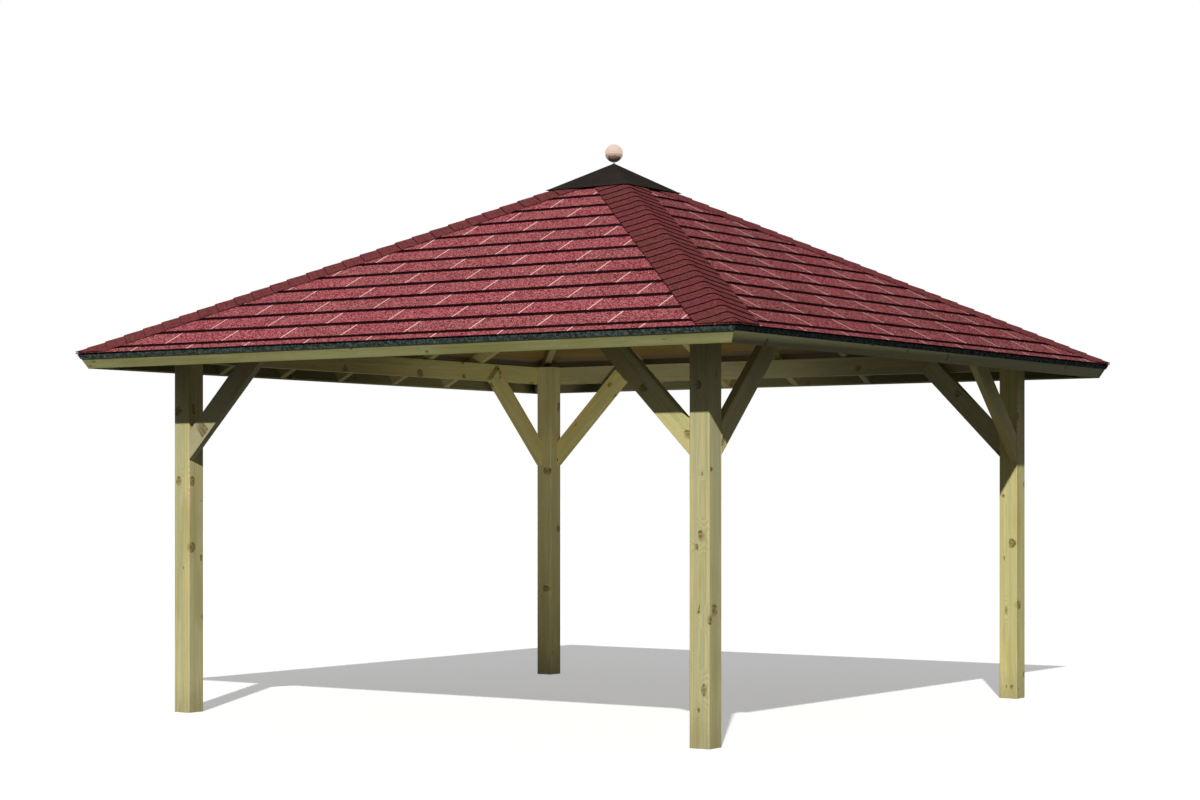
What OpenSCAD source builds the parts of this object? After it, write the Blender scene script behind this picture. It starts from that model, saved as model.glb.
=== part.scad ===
// Four-post garden gazebo with a shingled pyramid roof and a ball finial.
// Millimetres, +Z up. The origin is on the ground at the centre of the plan.
// The front faces -Y and the right-hand side faces +X. The plan is square and the four sides are alike.

/* [Overall] */
// Distance between the outer faces of two neighbouring posts
post_spread = 3730; // [3000:10:4500]
// Clear height from the ground to the underside of the ring beams
headroom = 2067; // [1700:1:2500]
// Slope of the roof, in degrees
roof_pitch = 27; // [22:0.5:33]
// How far the fascia's lower edge stands out from the post faces
eave_reach = 350; // [250:5:450]

/* [Posts and ring beams] */
// Side of a square post
post_side = 120; // [90:5:150]
// Chamfer on the long edges of the posts
post_chamfer = 4; // [2:0.5:10]
// Depth of a ring beam
beam_depth = 120; // [95:5:160]
// Thickness of a ring beam
beam_thick = 45; // [35:1:70]

/* [Braces] */
// Width of a brace across its face
brace_width = 120; // [70:5:140]
// Thickness of a brace
brace_thick = 45; // [35:1:60]
// How far the toe of a brace stands below the ring beams
brace_drop = 580; // [400:10:800]
// How far the head of a brace laps up over the ring beam
brace_lap = 93; // [60:1:110]

/* [Rafters] */
// Thickness of the rafters and hip rafters
rafter_thick = 45; // [35:1:60]
// Depth of the rafters, square to the slope
rafter_depth = 70; // [55:1:110]
// Depth of the notch that seats a rafter on the ring beam
rafter_notch = 12; // [8:1:18]
// Distance between the centres of two rafters
rafter_spacing = 560; // [420:10:600]
// Rafters on each side of the middle one
rafters_each_way = 2; // [1:1:2]
// Width of the eight-sided king block, across its flats
king_side = 130; // [100:5:160]
// How far the king block hangs below the rafters
king_drop = 60; // [20:5:120]

/* [Roof covering] */
// Thickness of the roof boards
board_thick = 20; // [16:1:25]
// Thickness of the fascia boards
fascia_thick = 20; // [16:1:28]
// Thickness of the mineral felt
felt_thick = 3; // [2:0.5:4]
// How far the felt is turned down over the fascia
felt_turn_down = 25; // [15:1:40]
// Thickness of the shingle covering where two layers lap
shingle_thick = 10; // [6:1:14]
// How far the shingles stand out past the felt
shingle_overhang = 3; // [2:1:25]
// Thickness of the hip capping over the shingles
hip_cap_thick = 12; // [8:1:16]
// Width of one half of the hip capping, measured in plan square to the hip
hip_cap_reach = 156; // [110:2:180]
// How far the hip capping is held back from the edge of the shingles
hip_cap_set_back = 4; // [0:1:15]

/* [Cap and finial] */
// Side of the square sheet-metal cap
roof_cap_side = 600; // [450:10:700]
// How much higher the sheet-metal cap rises than the slopes under it
roof_cap_lift = 28; // [15:1:60]
// Thickness of the cap's sheet
roof_cap_sheet = 2; // [1:0.5:3]
// Diameter of the ball
ball_diameter = 110; // [80:2:140]
// Diameter of the stud that holds the ball
stud_diameter = 16; // [10:1:20]
// How deep the stud goes into the king block
stud_depth = 60; // [30:5:90]

/* [Hidden] */
$fn = 96;
// Fitting gap between pieces that are pushed together
fit_gap = 0.3;
// Gap left on each side of a mitre or hip line
mitre_gap = 0.2;
// Cutting tools run this far past what they cut
past = 1;
// Clear of everything: the size of the cutting prisms
beyond = 3 * post_spread;

// Ring beams and posts
post_out = post_spread / 2;
post_in = post_out - post_side;
beam_in = post_out + fit_gap;
beam_out = beam_in + beam_thick;
beam_top = headroom + beam_depth;
side_beam_length = 2 * post_out;
end_beam_length = 2 * beam_out;

// The diagonal of a unit square: braces and hips stand at half a right angle
root_two = sqrt(2);
half_right = 45;

// The roof's section: down_slope runs outward along the slope from the inner lower edge of the
// fascia, and height is measured square to the slope from the underside of the rafters.
slope_run = cos(roof_pitch);
slope_rise = sin(roof_pitch);
slope_grade = tan(roof_pitch);
eave_out = post_out + eave_reach - fascia_thick * slope_run;
eave_z = beam_top - rafter_notch - (eave_out - beam_out) * slope_grade;
function roof_point(down_slope, height) = [
    eave_out + down_slope * slope_run + height * slope_rise,
    eave_z - down_slope * slope_rise + height * slope_run
];
function roof_level(out, height) = eave_z + (eave_out - out) * slope_grade + height / slope_run;

// Heights of the layers above the underside of the rafters
boards_low = rafter_depth + fit_gap;
boards_top = boards_low + board_thick;
felt_low = boards_top + fit_gap;
felt_top = felt_low + felt_thick;
shingles_low = felt_top + fit_gap;
shingles_top = shingles_low + shingle_thick;
hip_cap_low = shingles_top + fit_gap;
hip_cap_top = hip_cap_low + hip_cap_thick;

// Where the layers end, down the slope
fascia_low_edge = fit_gap;
fascia_edge = fascia_low_edge + fascia_thick;
felt_edge = fascia_edge + fit_gap + felt_thick;
shingles_edge = felt_edge + shingle_overhang;
hip_cap_edge = shingles_edge - hip_cap_set_back;
// Under the cap, where the cappings of two hips can't meet yet
hip_cap_start = 2 * hip_cap_reach;

// King block, stud and cap
stud_clear = stud_diameter / 2 + fit_gap;
king_top = roof_level(0, boards_low) - king_side / 2 * slope_grade - past;
king_bottom = roof_level(king_side / 2, 0) - king_drop;
roof_cap_half = roof_cap_side / 2;
roof_cap_rise = roof_cap_half * slope_grade + roof_cap_lift;
roof_cap_drop = roof_cap_sheet / cos(atan(roof_cap_rise / roof_cap_half));
roof_cap_z = roof_level(roof_cap_half, hip_cap_top) + roof_cap_drop + fit_gap;
roof_cap_top = roof_cap_z + roof_cap_rise;
ball_z = roof_cap_top + ball_diameter / 2 + fit_gap;

// Compass of the four sides and the four corners, as turns about the middle
side_names = ["right", "back", "left", "front"];
side_turns = [0, 90, 180, 270];
corner_names = ["back_right", "back_left", "front_left", "front_right"];

// A brace is named for its side and for the neighbouring side that its foot stands towards
function brace_name(side, step) = str("brace_", side_names[side], "_", side_names[(side + step) % 4]);

// Colours
wood = "#c3b98a";
dark_wood = "#8d7d52";
felt_green = "#3f4a44";
shingle_red = "#a85862";
hip_red = "#74403f";
sheet_brown = "#2d2a28";
copper = "#c48a6c";

// A vertical wedge over one side of the plan, between the two hip lines
module side_wedge(gap) {
    start = gap * root_two;
    linear_extrude(beyond)
        polygon([[start, 0], [beyond + start, beyond], [beyond + start, -beyond]]);
}

// A section in the X-Z plane run along the whole side
module run_along_side(section) {
    rotate([90, 0, 0])
        linear_extrude(beyond, center = true)
            polygon(section);
}

// A layer of the roof over one side, mitred on the hip lines, with a hole for the stud
module roof_layer(low, top, edge) {
    section = [
        roof_point(edge, low),
        roof_point(edge, top),
        [stud_clear, roof_level(stud_clear, top)],
        [stud_clear, roof_level(stud_clear, low)]
    ];
    intersection() {
        run_along_side(section);
        side_wedge(mitre_gap);
    }
}

// The room that rafters may fill: under the boards and inside the fascias
module rafter_room() {
    low = roof_point(0, 0);
    high = roof_point(0, rafter_depth);
    bottom = low[1] - rafter_depth;
    bottom_out = low[0] - rafter_depth * slope_grade;
    section = [
        [-bottom_out, bottom],
        [bottom_out, bottom],
        high,
        [0, roof_level(0, rafter_depth)],
        [-high[0], high[1]]
    ];
    intersection() {
        run_along_side(section);
        rotate([0, 0, 90]) run_along_side(section);
    }
}

// The notch that lets rafters sit on the ring beams
module seat_notch() {
    notch = beam_out + fit_gap;
    translate([-notch, -notch, 0])
        cube([2 * notch, 2 * notch, beam_top + fit_gap]);
}

// An upright eight-sided prism about the middle, given by its width across the flats
module eight_sided(width, low, top) {
    intersection() {
        translate([-width / 2, -width / 2, low]) cube([width, width, top - low]);
        rotate([0, 0, half_right]) translate([-width / 2, -width / 2, low]) cube([width, width, top - low]);
    }
}

// A square post with chamfered long edges, standing in the +X +Y corner
module post() {
    half = post_side / 2;
    edge = half - post_chamfer;
    color(wood)
        translate([post_in + half, post_in + half, 0])
            linear_extrude(beam_top)
                polygon([
                    [half, edge], [edge, half], [-edge, half], [-half, edge],
                    [-half, -edge], [-edge, -half], [edge, -half], [half, -edge]
                ]);
}

// A ring beam on the +X side. The front and back beams run past the ends of the other two.
module beam(length) {
    color(wood)
        translate([beam_in, -length / 2, headroom])
            cube([beam_thick, length, beam_depth]);
}

// A brace on the +X side, from the post at its +Y end up to the ring beam
module brace() {
    foot = post_in - fit_gap;
    toe_z = headroom - brace_drop;
    slant = brace_width * root_two;
    head_z = headroom + brace_lap;
    rise = head_z - toe_z - slant;
    cut = brace_width / root_two;
    color(wood)
        translate([post_out, 0, 0])
            rotate([90, 0, -90])
                linear_extrude(brace_thick)
                    polygon([
                        [-foot, toe_z],
                        [-foot, toe_z + slant],
                        [-foot + rise, head_z],
                        [-foot + rise + cut, head_z - cut]
                    ]);
}

// A hip rafter on the +X +Y diagonal, bevelled to both slopes
module hip_rafter() {
    along = root_two * roof_point(0, rafter_depth)[0];
    start = king_side / 2 + fit_gap;
    low_start = roof_level(start / root_two, 0);
    section = [
        [start, low_start],
        [start, low_start + beyond],
        [along, low_start + beyond],
        [along, low_start - (along - start) / root_two * slope_grade]
    ];
    color(wood)
        difference() {
            intersection() {
                rafter_room();
                rotate([90, 0, half_right])
                    linear_extrude(rafter_thick, center = true)
                        polygon(section);
            }
            seat_notch();
        }
}

// The rafters over the +X side: the middle one reaches the king block, the others die on the hips
module rafters() {
    hip_clear = rafter_thick / 2 + fit_gap;
    section = [
        roof_point(0, 0),
        roof_point(0, rafter_depth),
        [king_side / 2 + fit_gap, roof_level(king_side / 2 + fit_gap, rafter_depth)],
        [king_side / 2 + fit_gap, roof_level(king_side / 2 + fit_gap, 0)]
    ];
    color(wood)
        for (step = [-rafters_each_way:rafters_each_way])
            difference() {
                intersection() {
                    translate([0, step * rafter_spacing, 0])
                        rotate([90, 0, 0])
                            linear_extrude(rafter_thick, center = true)
                                polygon(section);
                    side_wedge(hip_clear);
                }
                seat_notch();
            }
}

// The boarding over the +X side, inside the fascia
module roof_boards() {
    color(dark_wood) roof_layer(boards_low, boards_top, 0);
}

// The fascia board along the +X eave, square to the slope
module fascia() {
    section = [
        roof_point(fascia_low_edge, 0),
        roof_point(fascia_edge, 0),
        roof_point(fascia_edge, boards_top),
        roof_point(fascia_low_edge, boards_top)
    ];
    color(wood)
        intersection() {
            run_along_side(section);
            side_wedge(mitre_gap);
        }
}

// The felt over the boards of each side, turned down over the fascia
module felt_edging() {
    section = [
        roof_point(felt_edge - felt_thick, boards_top - felt_turn_down),
        roof_point(felt_edge, boards_top - felt_turn_down),
        roof_point(felt_edge, felt_top),
        [stud_clear, roof_level(stud_clear, felt_top)],
        [stud_clear, roof_level(stud_clear, felt_low)],
        roof_point(felt_edge - felt_thick, felt_low)
    ];
    color(felt_green)
        for (turn = side_turns)
            rotate([0, 0, turn])
                intersection() {
                    run_along_side(section);
                    side_wedge(mitre_gap);
                }
}

// The shingles over the +X side
module shingles() {
    color(shingle_red) roof_layer(shingles_low, shingles_top, shingles_edge);
}

// Half of the folded capping over the +X +Y hip: the strip on the +X slope
module hip_cap_half() {
    section = [
        roof_point(hip_cap_edge, hip_cap_low),
        roof_point(hip_cap_edge, hip_cap_top),
        [stud_clear, roof_level(stud_clear, hip_cap_top)],
        [stud_clear, roof_level(stud_clear, hip_cap_low)]
    ];
    intersection() {
        run_along_side(section);
        rotate([0, 0, half_right])
            translate([hip_cap_start, -hip_cap_reach, 0])
                cube([beyond, hip_cap_reach, beyond]);
        side_wedge(0);
    }
}

// The folded capping over the +X +Y hip
module hip_cap() {
    color(hip_red)
        union() {
            hip_cap_half();
            mirror([1, -1, 0]) hip_cap_half();
        }
}

// The block that the rafters meet on, drilled for the stud
module king_block() {
    color(wood)
        difference() {
            eight_sided(king_side, king_bottom, king_top);
            translate([0, 0, king_top - stud_depth])
                cylinder(h = stud_depth + past, r = stud_clear);
        }
}

// A solid four-sided pyramid on a square base
module pyramid(half, low, rise) {
    section = [[-half, low], [half, low], [0, low + rise]];
    intersection() {
        run_along_side(section);
        rotate([0, 0, 90]) run_along_side(section);
    }
}

// The folded sheet-metal cap
module roof_cap() {
    color(sheet_brown)
        difference() {
            pyramid(roof_cap_half, roof_cap_z, roof_cap_rise);
            translate([0, 0, -roof_cap_drop])
                pyramid(roof_cap_half, roof_cap_z, roof_cap_rise);
            cylinder(h = beyond, r = stud_clear);
        }
}

// The ball with its stud
module finial_ball() {
    stud_z = king_top - stud_depth + fit_gap;
    color(copper)
        union() {
            translate([0, 0, ball_z]) sphere(d = ball_diameter);
            translate([0, 0, stud_z]) cylinder(h = ball_z - stud_z, d = stud_diameter);
        }
}

for (i = [0:3]) {
    rotate([0, 0, side_turns[i]]) {
        post();
        beam(i % 2 == 0 ? side_beam_length : end_beam_length);
        brace();
        mirror([0, 1, 0]) brace();
        hip_rafter();
        rafters();
        roof_boards();
        fascia();
        shingles();
        hip_cap();
    }
}
felt_edging();
king_block();
roof_cap();
finial_ball();
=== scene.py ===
"""A four-post garden gazebo: pine frame, boarded pyramid roof, shingles, sheet cap and copper ball."""

import logging
import math
from contextlib import contextmanager
from dataclasses import dataclass, field
from enum import Enum
from functools import cache
from typing import Callable, ClassVar, Iterator

import bmesh
import bpy
from bmesh.types import BMEdge, BMesh
from bpy.types import ID, Material, Mesh, Node, NodeSocket, NodeTree, Object
from mathutils import Matrix, Vector


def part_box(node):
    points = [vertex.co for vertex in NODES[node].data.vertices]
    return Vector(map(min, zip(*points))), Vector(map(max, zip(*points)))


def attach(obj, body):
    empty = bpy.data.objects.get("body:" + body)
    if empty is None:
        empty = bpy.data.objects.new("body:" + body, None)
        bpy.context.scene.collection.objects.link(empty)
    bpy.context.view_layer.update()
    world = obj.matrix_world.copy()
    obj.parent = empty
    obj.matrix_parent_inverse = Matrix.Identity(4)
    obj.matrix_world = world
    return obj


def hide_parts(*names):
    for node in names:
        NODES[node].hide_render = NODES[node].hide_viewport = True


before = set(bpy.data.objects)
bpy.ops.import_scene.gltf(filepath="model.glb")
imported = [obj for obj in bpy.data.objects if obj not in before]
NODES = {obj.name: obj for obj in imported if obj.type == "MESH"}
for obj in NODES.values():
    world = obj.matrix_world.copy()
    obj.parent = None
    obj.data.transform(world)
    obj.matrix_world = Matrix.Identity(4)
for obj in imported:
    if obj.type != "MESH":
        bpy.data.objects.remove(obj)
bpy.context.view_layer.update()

Triple = tuple[float, float, float]
Inputs = dict[str | int, object]
Plane = tuple[Vector, Vector]

BODY = "root"
MERGE = 2e-5
QUARTER = math.pi / 2
UPRIGHT = Vector((0, 0, 1))
ALONG_SIDE = Vector((0, 1, 0))

log = logging.getLogger("gazebo")


class QuarterTurn(Enum):
    """Like places round the gazebo, numbered by quarter turns."""

    @property
    def label(self) -> str:
        """The place's name in the node names."""
        return self.name.lower()

    @property
    def turn(self) -> Matrix:
        """The turn from the first place to this one."""
        return Matrix.Rotation(self.value * QUARTER, 4, "Z")


class Side(QuarterTurn):
    """The four sides of the roof, from the right-hand one."""

    RIGHT, BACK, LEFT, FRONT = range(4)


class Corner(QuarterTurn):
    """The four corners, from the back right one."""

    BACK_RIGHT, BACK_LEFT, FRONT_LEFT, FRONT_RIGHT = range(4)


class Slot(Enum):
    """The record's finishes, handed to each new piece but not used."""

    FRAME = "frame_timber"
    FASCIA = "fascia_timber"
    BOARDS = "roof_boards"
    SHINGLES = "shingles"
    HIPS = "hip_capping"
    CAP = "cap_sheet"
    BALL = "ball"


class Seed:
    """The first seed of each set of pieces."""

    BOARD_ROWS = 3
    BEAMS = 21
    NEXT_BRACES = 31
    LAST_BRACES = 41
    HIP_RAFTERS = 51
    RAFTERS = 61
    KING_BLOCK = 71
    BOARDS = 81
    FASCIAS = 91
    TABS = 100
    POSTS = 159
    LAPS = 200
    HIP_PIECES = 300


def srgb(red: int, green: int, blue: int) -> Triple:
    """A screen colour, 0 to 255 a channel, as linear light."""
    return tuple(
        (c / 255 / 12.92) if c / 255 <= 0.04045 else ((c / 255 + 0.055) / 1.055) ** 2.4
        for c in (red, green, blue)
    )


def operator(operation: str) -> Callable[..., "Value"]:
    """A method of Value that adds a Math or Vector Math node."""
    return lambda value, *others: value.math(operation, *others)


class Value:
    """A node's output, which takes part in sums as a number or a vector does."""

    __add__, __sub__, __mul__, __truediv__, __abs__, length, dot, floor, fract, least, most = (
        operator(name) for name in ("ADD", "SUBTRACT", "MULTIPLY", "DIVIDE", "ABSOLUTE", "LENGTH",
                                    "DOT_PRODUCT", "FLOOR", "FRACT", "MINIMUM", "MAXIMUM"))

    def __init__(self, graph: "Graph", socket: NodeSocket) -> None:
        """Wraps an output socket of graph's tree."""
        self.graph, self.socket = graph, socket

    def math(self, operation: str, *others: object) -> "Value":
        """A Math node's result on this value and others, or a Vector Math node's on a vector.

        Args:
            operation: the node's operation.
            others: the other values, in order.

        Returns:
            A number for a length or dot product, else a value of this one's kind.
        """
        kind = "ShaderNodeVectorMath" if self.socket.type == "VECTOR" else "ShaderNodeMath"
        number = operation in ("LENGTH", "DOT_PRODUCT")
        return self.graph.get(kind, dict(enumerate((self, *others))), 1 if number else 0,
                              operation=operation)

    def __rsub__(self, number: float) -> "Value":
        """A number less this."""
        return self.graph.get("ShaderNodeMath", {0: number, 1: self}, operation="SUBTRACT")

    @property
    def parts(self) -> list["Value"]:
        """A vector's three numbers."""
        return list(self.graph.outputs("ShaderNodeSeparateXYZ", {0: self}).values())

    def spread(self, low: object, high: object, to_low: float = 0.0, to_high: float = 1.0) -> "Value":
        """Turns low..high into to_low..to_high with soft ends.

        Args:
            low: the value that gives to_low.
            high: the value that gives to_high.
            to_low: the result at low and below.
            to_high: the result at high and above.

        Returns:
            The result.
        """
        return self.graph.get("ShaderNodeMapRange", {0: self, 1: low, 2: high, 3: to_low, 4: to_high},
                              interpolation_type="SMOOTHSTEP")

    def noise(self, scale: float = 1.0, detail: float = 2.0) -> "Value":
        """Smooth noise round 0.5 at this place."""
        return self.graph.get("ShaderNodeTexNoise", {"Vector": self, "Scale": scale, "Detail": detail})

    def cells(self, size: object, randomness: float = 1.0) -> dict[str, "Value"]:
        """Irregular cells of a size at this place: each output of the Voronoi node by name."""
        return self.graph.outputs("ShaderNodeTexVoronoi", {
            "Vector": self / size, "Scale": 1.0, "Randomness": randomness})


class Graph:
    """Short calls for building a shader or geometry node tree."""

    def __init__(self, tree: NodeTree) -> None:
        """Works on tree."""
        self.tree = tree

    def feed(self, socket: NodeSocket, value: object) -> None:
        """Links or sets one input.

        Args:
            socket: the input.
            value: another node's output, or a plain value.
        """
        if isinstance(value, Value):
            self.tree.links.new(value.socket, socket)
        elif isinstance(value, tuple) and socket.type == "RGBA":
            socket.default_value = (*value, 1.0)
        else:
            socket.default_value = value

    def add(self, kind: str, inputs: Inputs | None = None, **settings: object) -> Node:
        """Adds a node.

        Args:
            kind: the node's type name.
            inputs: values or outputs by input name or number.
            settings: the node's own properties.

        Returns:
            The node.
        """
        node = self.tree.nodes.new(kind)
        for name, value in settings.items():
            setattr(node, name, value)
        for key, value in (inputs or {}).items():
            self.feed(node.inputs[key], value)
        return node

    def get(self, kind: str, inputs: Inputs | None = None, output: int | str = 0,
            **settings: object) -> Value:
        """One output of a new node, by its name or number."""
        return Value(self, self.add(kind, inputs, **settings).outputs[output])

    def outputs(self, kind: str, inputs: Inputs | None = None, **settings: object) -> dict[str, Value]:
        """Every output of a new node by name."""
        return {out.name: Value(self, out) for out in self.add(kind, inputs, **settings).outputs}

    def use(self, group: Callable[[], NodeTree], **inputs: object) -> dict[str, Value]:
        """Places a shared group.

        Args:
            group: the function that builds it.
            inputs: the group's inputs, with _ for a space.

        Returns:
            The group's outputs by name.
        """
        given = {label.replace("_", " "): value for label, value in inputs.items()}
        return self.outputs("ShaderNodeGroup", given, node_tree=group())

    def deliver(self, results: dict[str, Value], kind: str = "NodeSocketFloat") -> NodeTree:
        """Ends a node group.

        Args:
            results: what it gives, by name.
            kind: the socket type of all of them.

        Returns:
            The group.
        """
        for label in results:
            self.tree.interface.new_socket(label, in_out="OUTPUT", socket_type=kind)
        self.add("NodeGroupOutput", results)
        return self.tree

    def join(self, x: object, y: object, z: object) -> Value:
        """Three numbers as a vector."""
        return self.get("ShaderNodeCombineXYZ", {0: x, 1: y, 2: z})

    def place(self) -> Value:
        """The place in metres, in the row's frame."""
        return self.get("ShaderNodeTexCoord", output="Object")

    def stored(self, name: str, output: str = "Fac") -> Value:
        """A mesh attribute's value."""
        return self.get("ShaderNodeAttribute", output=output, attribute_name=name)

    def mix(self, factor: object, a: object, b: object, blend: str = "MIX") -> Value:
        """Mixes two colours.

        Args:
            factor: 0 for a, 1 for b.
            a: the first colour.
            b: the second colour.
            blend: the blend type.

        Returns:
            The mixed colour.
        """
        return self.get("ShaderNodeMix", {0: factor, 6: a, 7: b}, 2, data_type="RGBA", blend_type=blend)

    def layers(self, colour: object, *coats: tuple[Value, Triple]) -> Value:
        """Lays coats of colour on one another.

        Args:
            colour: what lies under them all.
            coats: how much of each coat shows, 0 to 1, and its colour.

        Returns:
            The colour that is seen.
        """
        for amount, coat in coats:
            colour = self.mix(amount, colour, coat)
        return colour

    def bumped(self, height: Value, depth: float, strength: float) -> Value:
        """A normal bumped by a height of 0 to 1 that stands depth metres."""
        return self.get("ShaderNodeBump", {"Height": height, "Distance": depth, "Strength": strength})


def new_tree(name: str, inputs: Inputs,
             kind: str = "ShaderNodeTree") -> tuple[Graph, dict[str, Value]]:
    """Starts a node group with named inputs.

    Args:
        name: the group's name.
        inputs: the default of each input by name, or its socket type as text.
        kind: the tree's type name.

    Returns:
        The graph, and its inputs by name.
    """
    tree = bpy.data.node_groups.new(name, kind)
    number_types = {int: "NodeSocketInt", float: "NodeSocketFloat"}
    for label, default in inputs.items():
        socket_type = number_types.get(type(default), default)
        socket = tree.interface.new_socket(label, in_out="INPUT", socket_type=socket_type)
        if type(default) in number_types:
            socket.default_value = default
    graph = Graph(tree)
    return graph, graph.outputs("NodeGroupInput")


@cache
def timber_figure() -> NodeTree:
    """Growth rings, fibres and knots of sawn softwood.

    Returns:
        The group. Place runs along the timber in x and across it in y and z, from the pith.
    """
    graph, given = new_tree("timber_figure", {
        "Place": "NodeSocketVector", "Ring Spacing": 0.005, "Waviness": 0.02,
        "Knot Spacing": 0.4, "Knot Size": 0.014})
    place, across_cell = given["Place"], 0.075
    across = place * (0, 1, 1)
    cell = graph.join(given["Knot Spacing"], across_cell, across_cell)
    knots = place.cells(cell, 0.9)
    offset, outward = place - knots["Position"] * cell, across.math("NORMALIZE")
    from_knot = offset - outward * offset.dot(outward)
    distance = (from_knot * (0.7, 1, 1)).length() + (place.noise(90.0) - 0.5) * 0.008
    size = given["Knot Size"] * knots["Color"].parts[0].spread(0.36, 1.0, 0.0, 1.2)
    there = size.spread(0.002, 0.005)
    broken = place.noise(32.0, 1.0).spread(0.42, 0.58)
    edge = broken * abs(distance - size * 0.85).spread(0.0, size * 0.42, 1.0, 0.0)
    heart = distance.spread(0.0, size * 0.6, 0.8, 0.0)
    pull = distance.spread(size, size * 4.0, 0.012, 0.0)
    slow, quick = ((place * scales).noise() - 0.5 for scales in ((0.9, 5, 5), (5, 30, 30)))
    grown = across.length() + (slow * given["Waviness"] + quick * 0.0025) + pull
    ring = (grown / given["Ring Spacing"]).fract()
    late = ring.spread(0.15, 0.85) * ring.spread(0.88, 1.0, 1.0, 0.0)
    fibre = (place * (7, 330, 330)).noise(detail=3.0)
    return graph.deliver({
        "Late Wood": late, "Fibre": fibre,
        "Knot": there * distance.spread(size * 0.6, size * 1.3, 1.0, 0.0),
        "Knot Rim": there * edge.most(heart),
        "Height": late * 0.35 + fibre * 0.65})


@cache
def weathering() -> NodeTree:
    """Large patches, fine dust and dirt splashed up from the ground.

    Returns:
        The group, which reads places in metres.
    """
    graph, given = new_tree("weather", {
        "Place": "NodeSocketVector", "Patch Size": 0.4, "Splash Height": 0.18})
    place = given["Place"]
    rise = place.parts[2] - place.noise(30.0, 3.0) * 0.12
    return graph.deliver({
        "Patches": (place / given["Patch Size"]).noise(detail=3.0).spread(0.3, 0.7),
        "Dust": place.noise(55.0, 4.0).spread(0.42, 0.72),
        "Splash": rise.spread(-0.06, given["Splash Height"], 1.0, 0.0)})


@cache
def granules() -> NodeTree:
    """Mineral grit: single grains, the clumps they blend in, and their bumps.

    Returns:
        The group, which reads places in metres.
    """
    graph, given = new_tree("granules", {
        "Place": "NodeSocketVector", "Grain Size": 0.0024, "Clump Size": 0.011})
    place = given["Place"]
    grains, clumps = (place.cells(given[size]) for size in ("Grain Size", "Clump Size"))
    return graph.deliver({
        "Grain": grains["Color"].parts[0], "Clump": clumps["Color"].parts[0],
        "Blend": place.noise(26.0, 3.0).spread(0.35, 0.68),
        "Height": 1.0 - grains["Distance"] * 1.2})


@dataclass(frozen=True)
class Finish:
    """A procedural material."""

    name: str

    def surface(self, graph: Graph) -> Inputs:
        """The Principled shader's inputs by name, worked out in the material's graph."""
        raise NotImplementedError

    def build(self) -> Material:
        """Makes the material.

        Returns:
            The material.
        """
        material = bpy.data.materials.new(self.name)
        material.use_nodes = True
        graph, shader = Graph(material.node_tree), material.node_tree.nodes["Principled BSDF"]
        for label, value in self.surface(graph).items():
            graph.feed(shader.inputs[label], value)
        return material


@dataclass(frozen=True)
class PineFinish(Finish):
    """Sawn or planed softwood with its stain and knots."""

    early: Triple
    late: Triple
    tint: Triple
    pale: Triple
    knot: Triple
    ring_spacing: float = 0.0055
    waviness: float = 0.022
    knot_spacing: float = 0.42
    knot_size: float = 0.014
    roughness: float = 0.67
    grain_depth: float = 0.0004
    ring_contrast: float = 0.6
    splashed: Triple = srgb(120, 112, 84)
    dusty: Triple = srgb(215, 208, 185)

    def surface(self, graph: Graph) -> Inputs:
        """Rings, streaks, stains, knots and dirt.

        Args:
            graph: the material's graph.

        Returns:
            The shader's inputs, which read each timber's own "grain" places and its "tone".
        """
        grain, tone = graph.stored("grain", "Vector"), graph.stored("tone")
        figure = graph.use(timber_figure, Place=grain, Ring_Spacing=self.ring_spacing,
                           Waviness=self.waviness, Knot_Spacing=self.knot_spacing,
                           Knot_Size=self.knot_size)
        weather = graph.use(weathering, Place=graph.place())
        streaks = (grain * (0.5, 26, 26)).noise(detail=3.0)
        fine = (grain * (0.35, 60, 60)).noise()
        stains = (grain * (1.6, 9, 9)).noise(detail=3.0)
        wood = graph.layers(
            self.early,
            (figure["Late Wood"] * self.ring_contrast, self.late),
            (streaks.spread(0.34, 0.66, 0.0, 0.75), self.tint),
            (fine.spread(0.42, 0.58, 0.0, 0.45), self.pale),
            (stains.spread(0.5, 0.72, 0.0, 0.5), self.late),
            (weather["Patches"] * 0.4, self.tint),
            (figure["Fibre"].spread(0.35, 0.7, 0.0, 0.3), self.late),
            (figure["Knot"] * 0.55, self.knot),
            (figure["Knot Rim"] * 0.8, tuple(0.33 * c for c in self.knot)))
        toned = graph.get("ShaderNodeHueSaturation", {
            "Saturation": tone.spread(0.0, 1.0, 0.9, 1.2),
            "Value": tone.spread(0.0, 1.0, 0.84, 1.2), "Color": wood})
        return {
            "Base Color": graph.layers(toned, (weather["Splash"] * 0.28, self.splashed),
                                       (weather["Dust"] * 0.06, self.dusty)),
            "Roughness": (weather["Dust"] - figure["Late Wood"]) * 0.08 + self.roughness,
            "Normal": graph.bumped(figure["Height"], self.grain_depth, 0.8),
            "Specular IOR Level": 0.1}


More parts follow.
